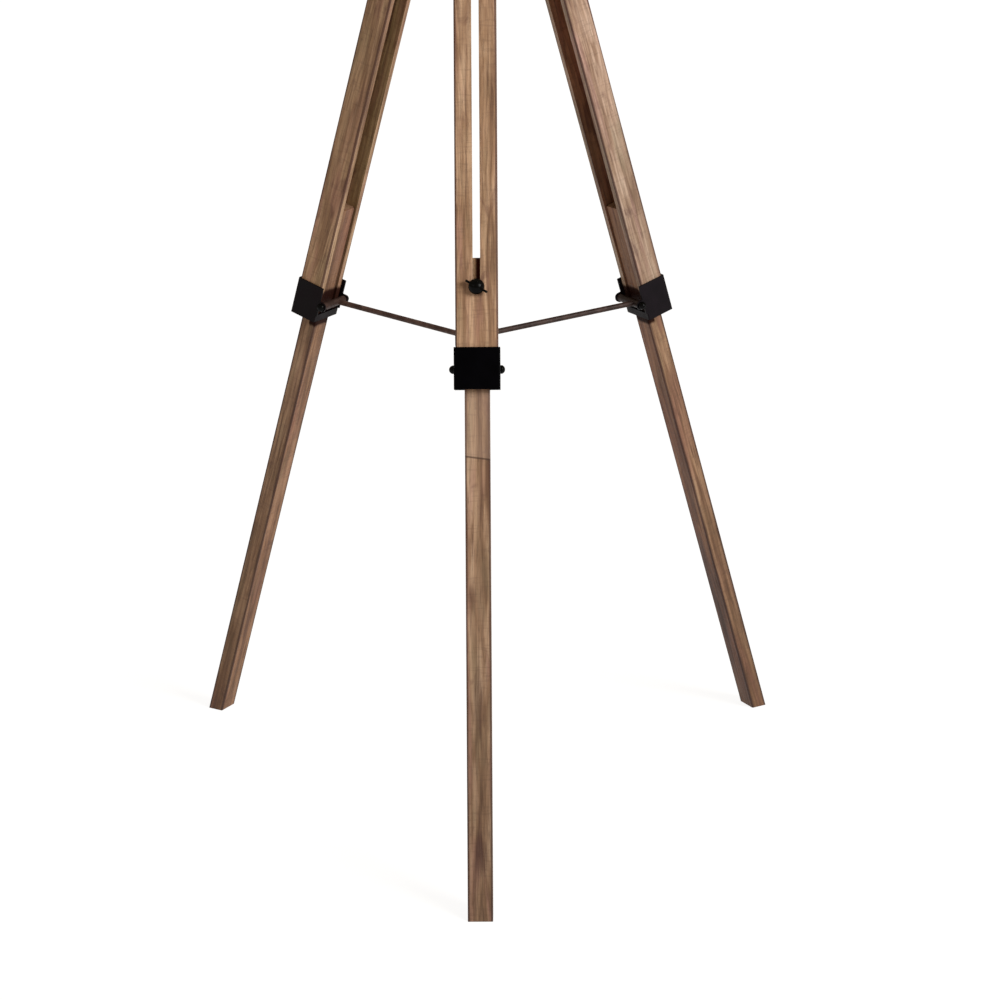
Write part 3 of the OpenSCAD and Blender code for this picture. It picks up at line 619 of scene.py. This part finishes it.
# Tones multiply the wood's colour; each leg's wood is a little different, and the tones also hold painted light
# and shade on whole legs and on their grooves, inner faces, feet and the right leg's neck
UPPER_TONES = {
    "front": {"whole": (1.02, 0.97, 0.93), "groove": (0.80, 0.70, 0.62)},
    "left": {"whole": (1.00, 0.95, 0.87), "groove": (0.68, 0.70, 0.58)},
    "right": {"whole": (0.93, 0.99, 1.12), "groove": (0.60, 0.36, 0.22),
              "neck": (1.30, 1.28, 1.32)},
}
LOWER_TONES = {
    "front": {"whole": (0.92, 0.90, 0.90), "foot": (0.62, 0.60, 0.58)},
    "left": {"whole": (0.72, 0.66, 0.62), "foot": (0.72, 0.66, 0.60),
             "inner": (0.92, 0.81, 0.73)},
    "right": {"whole": (0.68, 0.60, 0.53), "foot": (0.54, 0.48, 0.42),
              "inner": (0.96, 0.72, 0.56)},
}
# Painted shade: the right rod is the same bronze as the others, drawn darker
ROD_TONES = {"front": 1.0, "left": 1.0, "right": 0.5}
# Place across and along the leg, width, length and depth of each knot
KNOTS = {
    "front": ((0.0005, 0.063, 0.0080, 0.026, 0.75), (-0.0010, 0.215, 0.0070, 0.040, 0.35),
              (-0.0060, 0.318, 0.0050, 0.016, 0.45), (0.0020, 0.405, 0.0040, 0.030, 0.30)),
    "left": ((0.0030, 0.120, 0.0060, 0.030, 0.40),),
    "right": ((-0.0020, 0.270, 0.0060, 0.026, 0.40),),
}
UPPER_SEEDS, LOWER_SEEDS = (3.0, 8.3, 13.6), (11.0, 15.1, 19.2)
COAT = powder_coat("black_powder_coat", (0.0030, 0.0019, 0.0024))
# Painted light and shade: the three collars are the same black, drawn darker on the front and lighter on the sides
COLLARS = {"front": powder_coat("black_collar_front", (0.0004, 0.0003, 0.0007), gleam=0.02),
           "left": powder_coat("black_collar_left", (0.0034, 0.0016, 0.0024)),
           "right": powder_coat("black_collar_right", (0.0042, 0.0026, 0.0040))}
ENAMEL = gloss_black("black_enamel")
STEEL = metal("zinc_plated_steel", srgb(120, 120, 122), srgb(196, 196, 198), 0.30)
BRASS = metal("brass", srgb(150, 116, 60), srgb(222, 186, 112), 0.26)
PORCELAIN = moulded("glazed_porcelain", srgb(238, 236, 230), 0.22, 0.4)
NYLON = moulded("nylon", srgb(226, 224, 218), 0.45)
KNOB = moulded("black_phenolic", (0.005, 0.005, 0.0055), 0.34, specular=0.25)

for side, upper_seed, lower_seed in zip(SIDES, UPPER_SEEDS, LOWER_SEEDS):
    paint("upper_leg_" + side,
          wood("wood_upper_" + side, side, upper_seed, BOARD, UPPER_TONES[side]))
    paint("lower_leg_" + side,
          wood("wood_lower_" + side, side, lower_seed, SLIDER, LOWER_TONES[side],
               joint_at=FRONT_JOINT if side == "front" else None, knots=KNOTS[side]))
    paint("collar_" + side, COLLARS[side])
    paint("lock_washer_" + side, COAT)
    for part in ("collar_bolt_", "collar_nut_", "lock_bolt_", "wing_nut_"):
        paint(part + side, ENAMEL)
    paint("spreader_arm_" + side,
          rod_finish("bronze_rod_" + side, side, ROD_TONES[side]))
for name in ("spreader_hub", "tripod_head", "leg_brackets", "stem_socket", "stem_tube",
             "stem_knuckle", "arm_knuckle", "arm_tube", "shade_fork", "shade_knuckle",
             "socket_cap"):
    paint(name, COAT)
for name in ("leg_hinge_bolts", "leg_hinge_nuts", "arm_pivot_bolt", "shade_pivot_bolt"):
    paint(name, ENAMEL)
for name in ("bracket_screws", "socket_screws", "shade_screws", "socket_nipple", "bulb_base"):
    paint(name, STEEL)
for name in ("cable_gland", "gland_nut", "stem_thumbscrew", "arm_knob", "shade_knob",
             "switch_knob"):
    paint(name, KNOB)
for name in ("screw_shell", "centre_contact"):
    paint(name, BRASS)
paint("hinge_washers", NYLON)
paint("lampholder", PORCELAIN)
paint("bulb_glass", opal_glass("opal_glass"))


# ---- Spun shade with a rolled rim -------------------------------------------

def make_shade():
    """Shade spun from one sheet, replacing the plain CAD dome: a rolled bead ends its rim."""
    low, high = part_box("shade")
    middle = (low + high) / 2
    rim_r = (high.x - low.x) / 2
    depth = high.z - low.z
    wall, bead = 0.0010, 0.0017
    neck_r, neck_h, neck_bend = 0.0252, 0.0180, 0.0008
    skirt_h, skirt_bend = 0.0120, 0.0006
    wall_r = rim_r - 0.0009
    dome_h = depth - neck_h - skirt_h
    dome_steps, bead_steps = 40, 14
    bead_start, bead_sweep = 100, 280

    def side(inset):
        """Neck, dome and skirt, from the top down, at a depth inside the outer face."""
        line = [(neck_r - inset, depth), (neck_r - inset, depth - neck_h + neck_bend - inset)]
        for k in range(1, dome_steps + 1):
            turn = math.pi / 2 * k / dome_steps
            line.append((neck_r - inset + (wall_r - neck_r) * math.sin(turn),
                         depth - neck_h - inset - (dome_h - inset) * (1 - math.cos(turn))))
        return line

    # The bead curls outwards, nearly closed, and its inner face meets the skirt's
    curl_r, curl_z = rim_r - bead, bead
    curl = [(curl_r + bead * math.cos(a), curl_z + bead * math.sin(a))
            for a in (math.radians(bead_start - bead_sweep * k / bead_steps)
                      for k in range(bead_steps + 1))]
    profile = side(0.0) + [(wall_r, curl_z + bead + skirt_bend)] + curl + side(wall)[::-1]
    material = shade_paint("shade_enamel", rim_r)
    paint("shade", material)
    made = lathe("shade_spun", profile, (middle.x, middle.y, low.z), material)
    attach(made, "shade")
    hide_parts("shade")


make_shade()


# ---- Rounded edges ----------------------------------------------------------

LEG_EDGES = {"upper_leg_": 0.0010, "lower_leg_": 0.0010, "collar_": 0.0004, "wing_nut_": 0.0004}
HEAD_EDGES = {
    0.0008: ("tripod_head",),
    0.0006: ("socket_cap", "arm_knob", "shade_knob", "lampholder"),
    0.0005: ("leg_brackets", "stem_socket", "stem_knuckle", "arm_knuckle", "shade_fork",
             "shade_knuckle", "cable_gland"),
    0.0004: ("stem_thumbscrew", "gland_nut", "spreader_hub"),
}
for name in NODES:
    if name != "shade":
        smooth(name)
for side in SIDES:
    for part, width in LEG_EDGES.items():
        soften(part + side, width)
for width, names in HEAD_EDGES.items():
    for name in names:
        soften(name, width)


# ---- Studio -----------------------------------------------------------------

FLOOR_SPAN, FLOOR_DROP = 14.0, 0.0003
DOME_R = 13.5
WORLD_COLOUR, WORLD_STRENGTH = (1.0, 0.87, 0.72, 1.0), 0.45
SUN_ALONG, SUN_STRENGTH, SUN_WIDTH = Vector((-0.713, 0.549, -0.437)), 2.65, math.radians(24)
FILL_PLACE, FILL_TARGET = Vector((-2.4, -2.6, 2.2)), AXIS + Vector((0, 0, 0.6))
FILL_SIZE, FILL_POWER = 1.8, 6.0


def place_light(name, kind, along):
    """A light that shines along a direction."""
    data = bpy.data.lights.new(name, kind)
    lamp = bpy.data.objects.new(name, data)
    bpy.context.scene.collection.objects.link(lamp)
    lamp.rotation_euler = along.to_track_quat("-Z", "Y").to_euler()
    return lamp, data


def make_lights():
    key, data = place_light("key", "SUN", SUN_ALONG)
    data.energy = SUN_STRENGTH
    data.angle = SUN_WIDTH
    fill, data = place_light("fill", "AREA", FILL_TARGET - FILL_PLACE)
    data.shape = "DISK"
    data.size = FILL_SIZE
    data.energy = FILL_POWER
    fill.location = FILL_PLACE


def glowing(name, base, glow):
    """Plain matte surface that also gives off white light."""
    s = Shader(name)
    s.set(Base_Color=base, Specular_IOR_Level=0.0, Roughness=1.0,
          Emission_Color=WHITE, Emission_Strength=glow)
    return s.material


def make_floor():
    mesh = bpy.data.meshes.new("floor")
    corners = [(x * FLOOR_SPAN, y * FLOOR_SPAN, 0) for x, y in ((-1, -1), (1, -1), (1, 1), (-1, 1))]
    mesh.from_pydata(corners, [], [(0, 1, 2, 3)])
    mesh.materials.append(glowing("studio_floor", (0.20, 0.20, 0.20), 0.89))
    floor = bpy.data.objects.new("floor", mesh)
    floor.location.z = -FLOOR_DROP
    bpy.context.scene.collection.objects.link(floor)
    floor.visible_diffuse = False


def make_backdrop():
    """White dome behind everything: only the camera sees it, and it lights nothing."""
    mesh = bpy.data.meshes.new("backdrop")
    form = bmesh.new()
    bmesh.ops.create_uvsphere(form, u_segments=48, v_segments=24, radius=DOME_R)
    form.to_mesh(mesh)
    form.free()
    mesh.materials.append(glowing("studio_backdrop", BLACK, 1.10))
    dome = bpy.data.objects.new("backdrop", mesh)
    bpy.context.scene.collection.objects.link(dome)
    dome.visible_diffuse = dome.visible_glossy = dome.visible_shadow = False
    dome.visible_transmission = dome.visible_volume_scatter = False


def make_studio():
    scene = bpy.context.scene
    scene.view_settings.view_transform = "Standard"
    world = bpy.data.worlds.new("studio")
    world.use_nodes = True
    sky = world.node_tree.nodes["Background"]
    sky.inputs["Color"].default_value = WORLD_COLOUR
    sky.inputs["Strength"].default_value = WORLD_STRENGTH
    scene.world = world
    make_lights()
    make_floor()
    make_backdrop()


make_studio()
